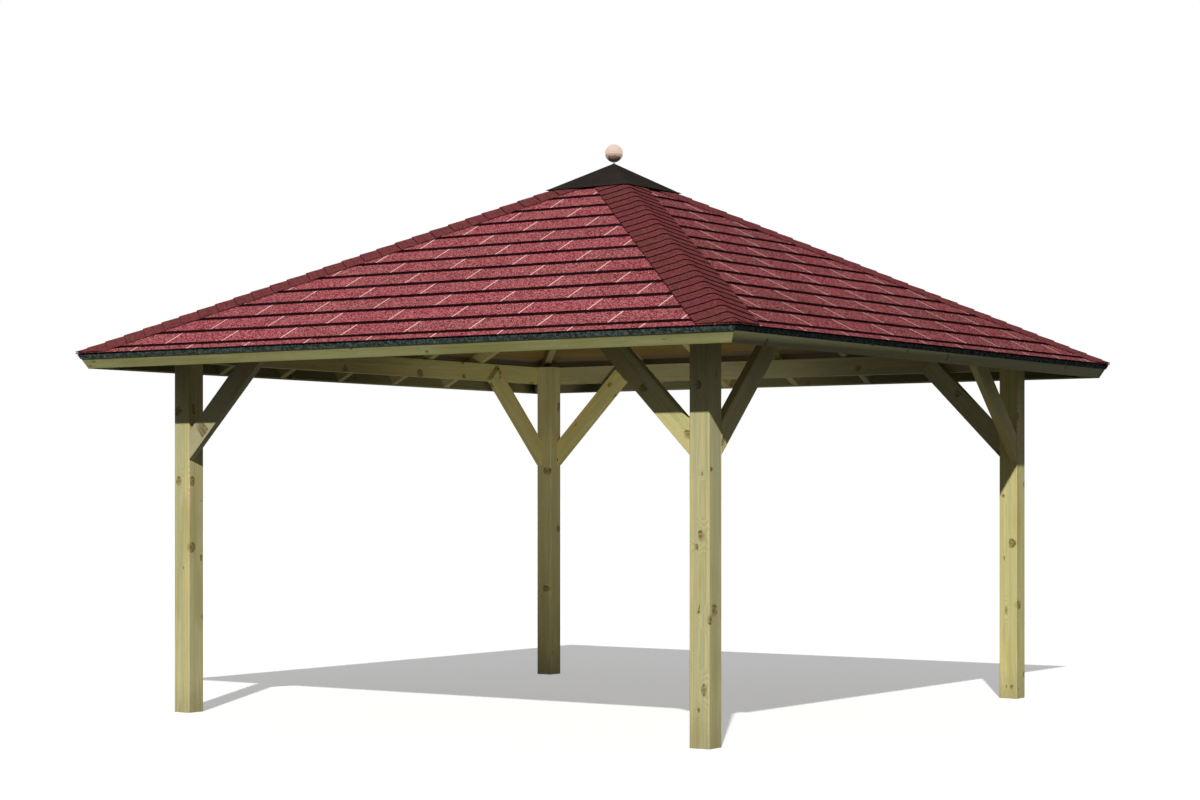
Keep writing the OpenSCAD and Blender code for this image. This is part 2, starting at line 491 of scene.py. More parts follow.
@dataclass(frozen=True)
class GritFinish(Finish):
    """Mineral grit pressed on bitumen: shingles, hip cappings and felt."""

    main: Triple
    other: Triple
    pale: Triple
    dark: Triple
    # shadow_line is the width of a painted shadow band below each next piece's edge; shadow_colour also
    # darkens the cut edges, which are bare bitumen.
    shadow_line: float = 0.0
    shadow_colour: Triple = (0.006, 0.001, 0.0015)
    shadow_depth: float = 1.0
    crease: float = 0.0
    clump: float = 0.0058
    mottle: float = 0.9
    roughness: float = 0.9
    grit_depth: float = 0.0009

    def surface(self, graph: Graph) -> Inputs:
        """Grains, clumps and weather, with dark cut edges and a painted shadow band where pieces lap.

        Args:
            graph: the material's graph.

        Returns:
            The shader's inputs, which read each piece's "tone", "on_piece" place and "reveal".
        """
        place, tone = graph.place(), graph.stored("tone")
        grit = graph.use(granules, Place=place, Clump_Size=self.clump)
        weather = graph.use(weathering, Place=place, Patch_Size=0.55)
        clumps = graph.layers(
            self.main,
            (tone.spread(0.15, 0.95, 0.0, 0.75), self.other),
            (grit["Blend"] * 0.35, self.other),
            (grit["Clump"].spread(0.45, 0.95) * self.mottle, self.pale),
            (grit["Clump"].spread(0.5, 0.05) * self.mottle, self.dark))
        fleck = grit["Grain"].spread(0.5, 1.0, -0.22, 0.3)
        flecked = graph.mix(1.0, clumps, fleck + 1.0, "MULTIPLY")
        colour = graph.mix(weather["Patches"] * 0.14, flecked, self.dark)
        return {
            "Base Color": self.shaded(graph, place, colour) if self.shadow_line else colour,
            "Roughness": self.roughness - grit["Grain"] * 0.12,
            "Normal": graph.bumped(grit["Height"], self.grit_depth, 0.7),
            "Specular IOR Level": 0.0}

    def shaded(self, graph: Graph, place: Value, colour: Value) -> Value:
        """Darkens the cut edges as bare bitumen, and paints a shadow band on each piece just below the
        next piece's edge; if crease is set, it adds a faint dark line halfway up each reveal.

        Args:
            graph: the material's graph.
            place: the place in metres.
            colour: the colour so far.

        Returns:
            The colour with its dark lines.
        """
        up_piece, reveal = graph.stored("on_piece", "Vector").parts[1], graph.stored("reveal")
        ragged = up_piece + (place.noise(60.0) - 0.5) * 0.004
        # Painted shadow: a dark band just below where the next piece's edge lies.
        band = (ragged - (reveal - self.shadow_line)).spread(-0.0015, 0.0015)
        # The cut edges are dark as bare bitumen.
        cut_edge = up_piece.spread(0.0002, 0.0012, 1.0, 0.0)
        lines = (band * self.shadow_depth).most(cut_edge)
        if self.crease:
            from_middle = abs(ragged - reveal * 0.5)
            faint = from_middle.spread(0.5 * self.crease, self.crease, 0.4, 0.0)
            lines = lines.most(faint)
        return graph.mix(lines * 0.96, colour, self.shadow_colour)


@dataclass(frozen=True)
class SheetFinish(Finish):
    """Dark coated sheet with faint scuffs and dust."""

    main: Triple
    worn: Triple
    dusty: Triple = srgb(120, 115, 105)

    def surface(self, graph: Graph) -> Inputs:
        """Worn patches, dust and shallow dents.

        Args:
            graph: the material's graph.

        Returns:
            The shader's inputs.
        """
        place = graph.place()
        weather = graph.use(weathering, Place=place, Patch_Size=0.12)
        return {
            "Base Color": graph.layers(self.main, (weather["Patches"] * 0.55, self.worn),
                                       (weather["Dust"] * 0.04, self.dusty)),
            "Roughness": weather["Patches"] * 0.14 + 0.62,
            "Normal": graph.bumped(place.noise(9.0), 0.004, 0.5),
            "Specular IOR Level": 0.0}


@dataclass(frozen=True)
class CopperFinish(Finish):
    """Spun copper, polished, with faint spinning lines and a warm bloom."""

    main: Triple
    bloom: Triple

    def surface(self, graph: Graph) -> Inputs:
        """Bloom, dust and the fine rings left by the spinning tool.

        Args:
            graph: the material's graph.

        Returns:
            The shader's inputs.
        """
        place = graph.place()
        weather = graph.use(weathering, Place=place, Patch_Size=0.03)
        lines = (place * (2, 2, 1400)).noise(detail=1.0)
        return {
            "Base Color": graph.mix(weather["Patches"] * 0.3, self.main, self.bloom),
            "Metallic": 0.62,
            "Roughness": weather["Dust"] * 0.1 + 0.17,
            "Normal": graph.bumped(lines, 0.0001, 0.25)}


@dataclass(frozen=True)
class FloorFinish(Finish):
    """A pale floor that lights the gazebo little, however light it looks."""

    bounce: float = 0.08
    seen: float = 0.72
    glow: float = 0.395
    mirrored: float = 0.45

    def surface(self, graph: Graph) -> Inputs:
        """One look for the camera, one for mirrors and one for the light that it gives back.

        Args:
            graph: the material's graph.

        Returns:
            The shader's inputs.
        """
        path = graph.outputs("ShaderNodeLightPath")
        seen, mirrored = path["Is Camera Ray"], path["Is Glossy Ray"]
        return {
            "Base Color": graph.mix(seen, (self.bounce,) * 3, (self.seen,) * 3),
            "Roughness": 1.0, "Specular IOR Level": 0.0, "Emission Color": (1.0, 1.0, 1.0),
            "Emission Strength": seen * self.glow + mirrored * self.mirrored}


class Paintbox:
    """Every finish, built once and handed out by name."""

    def __init__(self) -> None:
        """Builds the finishes."""
        # Width of the painted shadow band below each course's edge.
        line = 0.033
        pine = dict(early=srgb(218, 204, 156), late=srgb(158, 144, 92), tint=srgb(172, 172, 130),
                    pale=srgb(186, 192, 162), knot=srgb(132, 104, 62))
        finishes = [
            PineFinish("frame_pine", **pine, knot_spacing=0.4, knot_size=0.018),
            PineFinish("rafter_pine", **pine | {"tint": srgb(166, 162, 118)}, ring_spacing=0.0045,
                       knot_spacing=0.6),
            PineFinish("fascia_pine", early=srgb(172, 168, 126), late=srgb(130, 123, 78),
                       tint=srgb(146, 147, 108), pale=srgb(158, 163, 128), knot=srgb(118, 98, 62),
                       ring_spacing=0.006, knot_spacing=0.5, knot_size=0.018),
            PineFinish("roof_boarding", early=srgb(142, 124, 80), late=srgb(104, 86, 52),
                       tint=srgb(124, 108, 68), pale=srgb(140, 126, 90), knot=srgb(58, 40, 26),
                       ring_spacing=0.006, knot_spacing=0.6, knot_size=0.012, ring_contrast=0.5),
            GritFinish("shingle_grit", main=srgb(156, 62, 76), other=srgb(134, 68, 70),
                       pale=srgb(214, 136, 138), dark=srgb(84, 32, 38), shadow_line=line),
            # A darker copy of the shingle grit for the right and back slopes: painted shade.
            GritFinish("sheltered_shingle_grit", main=srgb(134, 54, 65), other=srgb(115, 58, 60),
                       pale=srgb(190, 120, 122), dark=srgb(68, 26, 31), shadow_line=line),
            GritFinish("shingle_slot_grit", main=srgb(248, 208, 206), other=srgb(240, 196, 194),
                       pale=srgb(252, 224, 222), dark=srgb(214, 164, 164), mottle=0.25,
                       shadow_line=line),
            # The hip pieces take a fainter painted shadow band; their cut edges are dark as bare
            # bitumen.
            GritFinish("hip_grit", main=srgb(122, 58, 62), other=srgb(108, 60, 58),
                       pale=srgb(148, 86, 88), dark=srgb(78, 38, 40), mottle=0.6, shadow_line=0.004,
                       shadow_depth=0.45, shadow_colour=srgb(32, 10, 12), crease=0.0025),
            GritFinish("felt_grit", main=srgb(78, 92, 88), other=srgb(62, 74, 70),
                       pale=srgb(126, 140, 134), dark=srgb(32, 38, 36), clump=0.008, mottle=0.75),
            SheetFinish("dark_sheet", main=srgb(42, 38, 36), worn=srgb(50, 45, 42)),
            CopperFinish("spun_copper", main=srgb(230, 204, 188), bloom=srgb(216, 176, 156)),
            FloorFinish("pale_floor"),
        ]
        self.materials = {finish.name: finish.build() for finish in finishes}

    def __getitem__(self, name: str) -> Material:
        """The material of that name."""
        return self.materials[name]


def courses_tree() -> NodeTree:
    """Geometry nodes that lay pieces in rows, as tiles, boards and cappings are laid.

    Returns:
        The tree. Rows run up the slope, which is -Y, and each piece is tilted to lap the one below.
    """
    graph, given = new_tree("laid_courses", {
        "Rows": 10, "Across": 1, "First Row": 0.1, "Row Pitch": 0.1, "Column Pitch": 0.4,
        "Stagger": 0.0, "Start": 0.0, "Width": 0.4, "Length": 0.2, "Thickness": 0.004, "Lift": 0.0,
        "Tilt": 0.0, "Divisions Across": 2, "Divisions Along": 2, "Slip": 0.0, "Ripple": 0.0,
        "Fold": 0.0, "Fold Radius": 0.02, "Crown": 0.0, "Crown Width": 0.05, "Seed": 1,
        "Finish": "NodeSocketMaterial"}, "GeometryNodeTree")

    def store(geometry: Value, name: str, value: Value, kind: str = "FLOAT",
              domain: str = "POINT") -> Value:
        """Keeps a value on a geometry as a named attribute."""
        return graph.get("GeometryNodeStoreNamedAttribute", {
            "Geometry": geometry, "Name": name, "Value": value}, data_type=kind, domain=domain)

    def place_pieces() -> Value:
        """Works out where the lower edge of each piece lies.

        Returns:
            A point for each, with the distance to the next row as its "reveal".
        """
        pitch, across = given["Column Pitch"], given["Across"]
        index = graph.get("GeometryNodeInputIndex")
        row = ((index + 0.5) / across).floor()
        column = index - row * across
        up_slope = (row.least(1.0) * given["First Row"]
                    + (row - 1.0).most(0.0) * given["Row Pitch"])
        shift = ((row * given["Stagger"] + given["Start"]) / pitch).fract() * pitch
        along_eave = (column - (across - 1.0) * 0.5) * pitch + shift
        slip, next_slip = (given["Slip"] * graph.get("FunctionNodeRandomValue", {
            2: -1.0, 3: 1.0, "ID": number, "Seed": given["Seed"]}, 1)
            for number in (index, index + 1.0))
        first = row.math("COMPARE", 0.0, 0.5)
        step = first * given["First Row"] + (1.0 - first) * given["Row Pitch"]
        line = graph.get("GeometryNodeMeshLine", {"Count": given["Rows"] * across})
        return graph.get("GeometryNodeSetPosition", {
            "Geometry": store(line, "reveal", step + (slip - next_slip)),
            "Position": graph.join(along_eave, slip - up_slope, given["Lift"])})

    here = graph.get("GeometryNodeInputPosition")
    x, y, z = here.parts
    cube = graph.get("GeometryNodeMeshCube", {
        "Size": graph.join(given["Width"], given["Length"], given["Thickness"]),
        "Vertices X": given["Divisions Across"] + 1.0, "Vertices Y": given["Divisions Along"] + 1.0})
    piece = graph.get("GeometryNodeTransform", {
        "Geometry": cube,
        "Translation": graph.join(0.0, given["Length"] * -0.5, given["Thickness"] * 0.5)})
    kept = graph.get("GeometryNodeInstanceOnPoints", {
        "Points": place_pieces(),
        "Instance": store(piece, "on_piece", graph.join(x, y * -1.0, z), "FLOAT_VECTOR"),
        "Rotation": graph.join(given["Tilt"], 0.0, 0.0)})
    tone = graph.get("FunctionNodeRandomValue", {"Seed": given["Seed"] + 7.0}, 1)
    reveal = graph.get("GeometryNodeInputNamedAttribute", {"Name": "reveal"}, data_type="FLOAT")
    for label, value in (("tone", tone), ("reveal", reveal)):
        kept = store(kept, label, value, domain="INSTANCE")
    real = graph.get("GeometryNodeRealizeInstances", {"Geometry": kept})
    waves = (here.noise(9.0, 1.0) - 0.5) * given["Ripple"]
    ragged = (here.noise(23.0, 1.0) - 0.5) * (given["Ripple"] * 2.0)
    radius = given["Fold Radius"]
    drop = ((x * x + radius * radius).math("SQRT") - radius * 0.1) * given["Fold"]
    inside = (1.0 - (x / given["Crown Width"]).math("POWER", 2.0)).most(0.0)
    rise = given["Crown"] * (inside * inside) - drop
    bent = graph.get("GeometryNodeSetPosition", {
        "Geometry": real, "Offset": graph.join(0.0, ragged, waves + rise)})
    finished = graph.get("GeometryNodeSetMaterial", {"Geometry": bent, "Material": given["Finish"]})
    return graph.deliver({"Geometry": finished}, "NodeSocketGeometry")


def show(name: str, data: ID) -> Object:
    """Puts a mesh, light or camera in the scene.

    Args:
        name: the object's name.
        data: what it shows.

    Returns:
        The object.
    """
    thing = bpy.data.objects.new(name, data)
    bpy.context.scene.collection.objects.link(thing)
    return thing


def laid(tree: NodeTree, values: Inputs) -> Mesh:
    """Runs a geometry tree once and keeps the result as a plain mesh.

    Args:
        tree: the tree.
        values: the tree's inputs by name.

    Returns:
        The mesh, in the slope's own frame.
    """
    holder = show("holder", bpy.data.meshes.new("holder"))
    modifier = holder.modifiers.new("laid", "NODES")
    modifier.node_group = tree
    for label, value in values.items():
        modifier[tree.interface.items_tree[label].identifier] = value
    holder.update_tag()
    ready = holder.evaluated_get(bpy.context.evaluated_depsgraph_get())
    mesh = bpy.data.meshes.new_from_object(ready)
    bpy.data.objects.remove(holder)
    return mesh


@contextmanager
def reworked(mesh: Mesh) -> Iterator[BMesh]:
    """Opens a mesh for editing and writes the result back.

    Args:
        mesh: the mesh, which is changed.

    Yields:
        The mesh as a BMesh.
    """
    work = bmesh.new()
    work.from_mesh(mesh)
    yield work
    work.to_mesh(mesh)
    work.free()


def trim(mesh: Mesh, planes: list[Plane]) -> None:
    """Cuts away what lies in front of each plane, and closes the cuts.

    Args:
        mesh: the mesh, which is changed.
        planes: a point on each plane and its normal.
    """
    with reworked(mesh) as work:
        for point, normal in planes:
            bmesh.ops.bisect_plane(work, geom=[*work.verts, *work.edges, *work.faces], dist=MERGE,
                                   plane_co=point, plane_no=normal, clear_outer=True)
            rims = [edge for edge in work.edges if edge.is_boundary]
            bmesh.ops.holes_fill(work, edges=rims, sides=0)
        bmesh.ops.recalc_face_normals(work, faces=work.faces)


def bevel(work: BMesh, edges: list[BMEdge], width: float,
          segments: int) -> None:
    """Rounds off edges, from width metres back, in so many steps."""
    bmesh.ops.bevel(work, geom=edges, offset=width, offset_type="OFFSET", segments=segments,
                    profile=0.5, affect="EDGES", clamp_overlap=True)


def soften(mesh: Mesh, width: float, segments: int = 1, above: float = 25.0) -> None:
    """Rounds off a mesh's sharp edges.

    Args:
        mesh: the mesh, which is changed.
        width: how far back the rounding starts, in metres.
        segments: steps round each edge.
        above: the least angle, in degrees, that counts as sharp.
    """
    with reworked(mesh) as work:
        bmesh.ops.remove_doubles(work, verts=work.verts, dist=MERGE)
        bmesh.ops.dissolve_limit(work, angle_limit=math.radians(0.3), verts=work.verts,
                                 edges=work.edges)
        sharp = [edge for edge in work.edges
                 if len(edge.link_faces) == 2 and edge.calc_face_angle(0.0) > math.radians(above)]
        bevel(work, sharp, width, segments)


def turned(outline: list[tuple[float, float]], sides: int, start: float = 0.0) -> Mesh:
    """Turns an outline about the upright axis, on which its two ends lie.

    Args:
        outline: how far out and how high each point lies.
        sides: sides all round.
        start: the angle of the first corner.

    Returns:
        The closed mesh.
    """
    mesh, on_axis = bpy.data.meshes.new("turned"), 1e-6
    turns = [start + math.tau * k / sides for k in range(sides)]
    with reworked(mesh) as work:
        rows = [[work.verts.new((out * math.cos(turn), out * math.sin(turn), level))
                 for turn in (turns if out > on_axis else turns[:1])] for out, level in outline]
        for lower, upper in zip(rows, rows[1:]):
            for k in range(sides):
                ring = [row[corner % len(row)] for row, corner in (
                    (lower, k), (lower, (k + 1) % sides), (upper, (k + 1) % sides), (upper, k))]
                work.faces.new(dict.fromkeys(ring))
        bmesh.ops.recalc_face_normals(work, faces=work.faces)
    return mesh


def islands(mesh: Mesh) -> list[list[int]]:
    """The vertices of each separate solid in a mesh.

    Args:
        mesh: the mesh.

    Returns:
        A list of vertex numbers for each solid.
    """
    parent = list(range(len(mesh.vertices)))

    def root(vertex: int) -> int:
        """The number that stands for a vertex's solid."""
        while parent[vertex] != vertex:
            parent[vertex] = parent[parent[vertex]]
            vertex = parent[vertex]
        return vertex

    for edge in mesh.edges:
        first, second = (root(vertex) for vertex in edge.vertices)
        parent[first] = second
    groups: dict[int, list[int]] = {}
    for vertex in range(len(mesh.vertices)):
        groups.setdefault(root(vertex), []).append(vertex)
    return sorted(groups.values())


def chance(*numbers: int) -> float:
    """A fixed number from 0 to 1 for some whole numbers: the tail of a large sine."""
    step, shift, scale = 12.9898, 1.37, 43758.5453
    value = math.sin(sum((k + 1) * step * (n + shift) for k, n in enumerate(numbers))) * scale
    return value - math.floor(value)


def lay_grain(mesh: Mesh, along: Vector, seed: int, pith: float) -> None:
    """Gives each timber in a mesh its own place in the tree that it was sawn from.

    Args:
        mesh: the mesh, which gets the attributes "grain" and, if it has none, "tone".
        along: the direction of the fibres.
        seed: makes one mesh's timbers differ from another's.
        pith: how far the pith lies from the middle of the timber, in metres.
    """
    slanting, trunk = Vector((0.31, 0.17, 0.94)), 40.0
    along = along.normalized()
    beside = along.cross(slanting).normalized()
    axes = (along, beside, along.cross(beside))
    places = [0.0] * (3 * len(mesh.vertices))
    tones = [0.0] * len(mesh.vertices)
    for number, members in enumerate(islands(mesh)):
        middle = sum((mesh.vertices[v].co for v in members), Vector()) / len(members)
        turn, reach, start, shade = (chance(seed, number, k) for k in (1, 2, 3, 4))
        angle, radius = turn * math.tau, pith * (0.6 + 0.8 * reach)
        offset = Vector((start * trunk, math.cos(angle) * radius, math.sin(angle) * radius))
        for vertex in members:
            local = mesh.vertices[vertex].co - middle
            places[3 * vertex:3 * vertex + 3] = offset + Vector([local.dot(axis) for axis in axes])
            tones[vertex] = shade
    for name, kind in (("grain", "FLOAT_VECTOR"), ("tone", "FLOAT")):
        if name not in mesh.attributes:
            mesh.attributes.new(name, kind, "POINT")
    mesh.attributes["grain"].data.foreach_set("vector", places)
    mesh.attributes["tone"].data.foreach_set("value", tones)


def settle(name: str, mesh: Mesh, finish: Material, slot: Slot,
           *stands_for: str, smooth: float = 0.0) -> None:
    """Makes a finished mesh a piece of the gazebo.

    Args:
        name: the piece's name.
        mesh: its mesh, in the row's frame.
        finish: its material.
        slot: not used.
        stands_for: the CAD nodes that it replaces.
        smooth: edges flatter than this many degrees are shaded smooth.
    """
    mesh.name = name
    mesh.materials.clear()
    mesh.materials.append(finish)
    mesh.polygons.foreach_set("material_index", [0] * len(mesh.polygons))
    if smooth:
        mesh.polygons.foreach_set("use_smooth", [True] * len(mesh.polygons))
        mesh.set_sharp_from_angle(angle=math.radians(smooth))
    piece = show(name, mesh)
    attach(piece, BODY)
    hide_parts(*stands_for)
    triangles = sum(len(polygon.vertices) - 2 for polygon in mesh.polygons)
    log.info("%s: %d triangles", name, triangles)


@dataclass
class Timber:
    """One CAD timber, or a set of them, with its arrises taken off and its grain laid."""

    node: str
    along: Vector
    finish: Material
    seed: int
    pith: float = 0.03
    arris: float = 0.002
    slot: Slot = Slot.FRAME

    def build(self) -> None:
        """Makes the piece that stands for the node."""
        mesh = NODES[self.node].data.copy()
        soften(mesh, self.arris, segments=2)
        lay_grain(mesh, self.along, self.seed, self.pith)
        settle(f"sawn_{self.node}", mesh, self.finish, self.slot, self.node)


@dataclass
class TimberFrame:
    """Posts, ring beams and braces."""

    paints: Paintbox
    post_pith: float = 0.035
    post_arris: float = 0.0012
    beam_pith: float = 0.06
    post_seed_step: int = 5

    def build(self) -> None:
        """Builds every timber below the roof."""
        pine = self.paints["frame_pine"]
        for corner in Corner:
            Timber(f"post_{corner.label}", UPRIGHT, pine,
                   Seed.POSTS + self.post_seed_step * corner.value, self.post_pith,
                   self.post_arris).build()
        for side in Side:
            Timber(f"beam_{side.label}", side.turn @ ALONG_SIDE, pine, Seed.BEAMS + side.value,
                   self.beam_pith).build()
            for step, lean, seed in ((1, -1, Seed.NEXT_BRACES), (3, 1, Seed.LAST_BRACES)):
                other = Side((side.value + step) % len(Side))
                Timber(f"brace_{side.label}_{other.label}", side.turn @ Vector((0, lean, 1)), pine,
                       seed + side.value, self.beam_pith).build()


@dataclass(frozen=True)
class Layer:
    """Where a layer lies on the right-hand slope: its levels, its ends and half its length."""

    low: float
    top: float
    head: float
    edge: float
    half: float


def framed(along: Vector, down: Vector, out: Vector, origin: Vector) -> Matrix:
    """The way from a frame with its own axes to the row's.

    Args:
        along: its X axis.
        down: its Y axis.
        out: its Z axis.
        origin: where it lies.

    Returns:
        The matrix.
    """
    matrix = Matrix((along, down, out)).transposed().to_4x4()
    matrix.translation = origin
    return matrix


@dataclass
class Slope:
    """The right-hand slope of the roof, measured from its CAD layers."""

    up: Vector = field(init=False)
    down: Vector = field(init=False)

    def __post_init__(self) -> None:
        """Finds which way the slope faces and which way water runs off it."""
        faces = NODES["shingles_right"].data.polygons
        widest = max((face for face in faces if face.normal.z > 0.5), key=lambda face: face.area)
        self.up = Vector((widest.normal.x, 0.0, widest.normal.z)).normalized()
        self.down = Vector((self.up.z, 0.0, -self.up.x))

    def layer(self, node: str) -> Layer:
        """Measures a right-hand layer.

        Args:
            node: the CAD node.

        Returns:
            Where it lies.
        """
        points = [vertex.co for vertex in NODES[node].data.vertices]
        heights, slides = ([point.dot(axis) for point in points] for axis in (self.up, self.down))
        return Layer(min(heights), max(heights), min(slides), max(slides),
                     max(abs(point.y) for point in points))

    def frame(self, layer: Layer) -> Matrix:
        """The matrix from a layer's frame, with X along the eave, Y down the slope and Z out of it."""
        return framed(self.down.cross(self.up), self.down, self.up,
                      self.down * layer.edge + self.up * layer.low)

    def hips(self, gap: float) -> list[Plane]:
        """The upright planes through the two hips, moved gap metres away from the middle."""
        return [(Vector((gap, 0, 0)), Vector((-1, lean, 0)).normalized()) for lean in (1, -1)]

    @property
    def hip_line(self) -> Vector:
        """The direction down the back right hip."""
        return Vector((self.down.x, self.down.x, self.down.z)).normalized()


@dataclass
class RoofLayer:
    """A layer of the roof that is laid in courses, place by place."""

    places: ClassVar[type[QuarterTurn]] = Side

    paints: Paintbox
    slope: Slope
    tree: NodeTree

    def lay(self, place: QuarterTurn) -> None:
        """Lays what belongs at one place."""
        raise NotImplementedError

    def build(self) -> None:
        """Lays the whole layer."""
        for place in self.places:
            self.lay(place)


@dataclass
class RoofFrame:
    """Hip rafters, common rafters and the king block."""

    paints: Paintbox
    slope: Slope
    king_pith: float = 0.01

    def build(self) -> None:
        """Builds the timbers that carry the roof."""
        pine = self.paints["rafter_pine"]
        for name, places, along, seed in (
                ("hip_rafter", Corner, self.slope.hip_line, Seed.HIP_RAFTERS),
                ("rafters", Side, self.slope.down, Seed.RAFTERS)):
            for place in places:
                Timber(f"{name}_{place.label}", place.turn @ along, pine, seed + place.value).build()
        Timber("king_block", UPRIGHT, pine, Seed.KING_BLOCK, self.king_pith).build()


@dataclass
class RoofDeck(RoofLayer):
    """Roof boards with their open joints, fascia boards and the felt."""

    board_width: float = 0.121
    board_pith: float = 0.09
    spare: float = 0.1
    joint: float = 0.0015
    vee: float = 0.003
    hip_gap: float = 0.0004
    fascia_pith: float = 0.08
    fascia_arris: float = 0.0015

    def lay(self, side: Side) -> None:
        """Builds the boarding and the fascia of one side.

        Args:
            side: the side.
        """
        layer = self.slope.layer("roof_boards_right")
        mesh = laid(self.tree, {
            "Rows": math.ceil((layer.edge - layer.head) / self.board_width),
            "First Row": self.board_width, "Row Pitch": self.board_width,
            "Width": 2 * layer.half + self.spare, "Length": self.board_width - self.joint,
            "Thickness": layer.top - layer.low, "Divisions Across": 1, "Divisions Along": 1,
            "Seed": Seed.BOARD_ROWS})
        mesh.transform(self.slope.frame(layer))
        trim(mesh, self.slope.hips(self.hip_gap))
        soften(mesh, self.vee)
        mesh.transform(side.turn)
        lay_grain(mesh, side.turn @ ALONG_SIDE, Seed.BOARDS + side.value, self.board_pith)
        settle(f"boarding_{side.label}", mesh, self.paints["roof_boarding"], Slot.BOARDS,
               f"roof_boards_{side.label}")
        Timber(f"fascia_{side.label}", side.turn @ ALONG_SIDE, self.paints["fascia_pine"],
               Seed.FASCIAS + side.value, self.fascia_pith, self.fascia_arris,
               Slot.FASCIA).build()

    def build(self) -> None:
        """Builds the deck and its edges, and grits the felt."""
        super().build()
        felt = NODES["felt_edging"].data
        felt.materials.clear()
        felt.materials.append(self.paints["felt_grit"])
        log.info("felt_edging: CAD node, gritted")


@dataclass
class ShingleField(RoofLayer):
    """Courses of three-tab shingles with open slots, over all four slopes."""

    exposure: float = 0.184
    first_course: float = 0.088
    tab: float = 0.4405
    slot_width: float = 0.0096
    slot_depth: float = 0.00015
    stagger: float = 0.243
    start: float = 0.041
    start_step: float = 0.0763
    thickness: float = 0.0044
    lap: float = 0.012
    slip: float = 0.0006
    spare: float = 0.2
    hip_gap: float = 0.0005

    def lay(self, side: Side) -> None:
        """Lays one slope: the tabs, and the pale sheets that show through the slots.

        Args:
            side: the side.
        """
        layer = self.slope.layer("shingles_right")
        depth, backing = layer.top - layer.low, self.thickness - 1.5 * self.slot_depth
        common = {
            "Rows": math.ceil((layer.edge - layer.head - self.first_course) / self.exposure) + 1,
            "First Row": self.first_course, "Row Pitch": self.exposure,
            "Tilt": math.asin(self.thickness / self.exposure), "Length": self.exposure + self.lap}
        tabs = laid(self.tree, common | {
            "Across": math.ceil(2 * (layer.half + self.tab) / self.tab), "Column Pitch": self.tab,
            "Stagger": self.stagger, "Start": self.start + self.start_step * side.value,
            "Width": self.tab - self.slot_width, "Thickness": self.thickness,
            "Lift": depth - self.thickness, "Divisions Across": 10, "Divisions Along": 3,
            "Slip": self.slip, "Seed": Seed.TABS + side.value})
        behind = laid(self.tree, common | {
            "Width": 2 * layer.half + self.spare, "Thickness": backing,
            "Lift": depth - self.slot_depth - backing, "Divisions Across": 24,
            "Divisions Along": 1, "Seed": Seed.LAPS + side.value})
        # The right and back slopes take the darker copy of the grit, which paints shade on them.
        sheltered = "sheltered_" if side in (Side.RIGHT, Side.BACK) else ""
        for mesh, name, finish in ((tabs, "shingle_tabs", f"{sheltered}shingle_grit"),
                                   (behind, "shingle_laps", "shingle_slot_grit")):
            mesh.transform(self.slope.frame(layer))
            trim(mesh, [*self.slope.hips(self.hip_gap),
                        (self.slope.down * layer.edge, self.slope.down),
                        (self.slope.up * layer.low, -self.slope.up)])
            mesh.transform(side.turn)
            settle(f"{name}_{side.label}", mesh, self.paints[finish], Slot.SHINGLES,
                   f"shingles_{side.label}", smooth=30.0)


@dataclass
class HipCapping(RoofLayer):
    """Folded pieces that lap up each hip."""

    places: ClassVar[type[QuarterTurn]] = Corner

    exposure: float = 0.1128
    first_piece: float = 0.07
    lap: float = 0.03
    thickness: float = 0.0055
    fold_radius: float = 0.03
    crown: float = 0.007
    crown_width: float = 0.06
    reach: float = 0.163
    slip: float = 0.007
    ripple: float = 0.001
    clear_of_hip: float = 0.01

    def lay(self, corner: Corner) -> None:
        """Caps one hip.

        Args:
            corner: the corner that it runs down to.
        """
        line, up, down = self.slope.hip_line, self.slope.up, self.slope.down
        out = Vector((1, -1, 0)).cross(line).normalized()
        points = [vertex.co for vertex in NODES["hip_cap_back_right"].data.vertices]
        ends = [point.dot(line) for point in points]
        bottom = min(p.dot(up) for p in points if p.x > p.y + self.clear_of_hip)
        edge = max(p.dot(down) for p in points if p.x > p.y)
        lean = up.dot(out)
        mesh = laid(self.tree, {
            "Rows": math.ceil((max(ends) - min(ends)) / self.exposure),
            "First Row": self.first_piece, "Row Pitch": self.exposure,
            "Width": 2 * self.reach, "Length": self.exposure + self.lap,
            "Thickness": self.thickness, "Lift": self.thickness,
            "Tilt": math.asin(self.thickness / self.exposure), "Divisions Across": 28,
            "Divisions Along": 2, "Slip": self.slip, "Ripple": self.ripple,
            "Fold": math.sqrt(max((1 / lean) ** 2 - 1, 0.0)), "Fold Radius": self.fold_radius,
            "Crown": self.crown, "Crown Width": self.crown_width,
            "Seed": Seed.HIP_PIECES + corner.value})
        mesh.transform(framed(line.cross(out), line, out, line * max(ends) + out * (bottom / lean)))
        mirrored = Matrix(((0, 1, 0), (1, 0, 0), (0, 0, 1)))
        trim(mesh, [(down * edge, down), (mirrored @ (down * edge), mirrored @ down)])
        mesh.transform(corner.turn)
        settle(f"hip_pieces_{corner.label}", mesh, self.paints["hip_grit"], Slot.HIPS,
               f"hip_cap_{corner.label}", smooth=30.0)


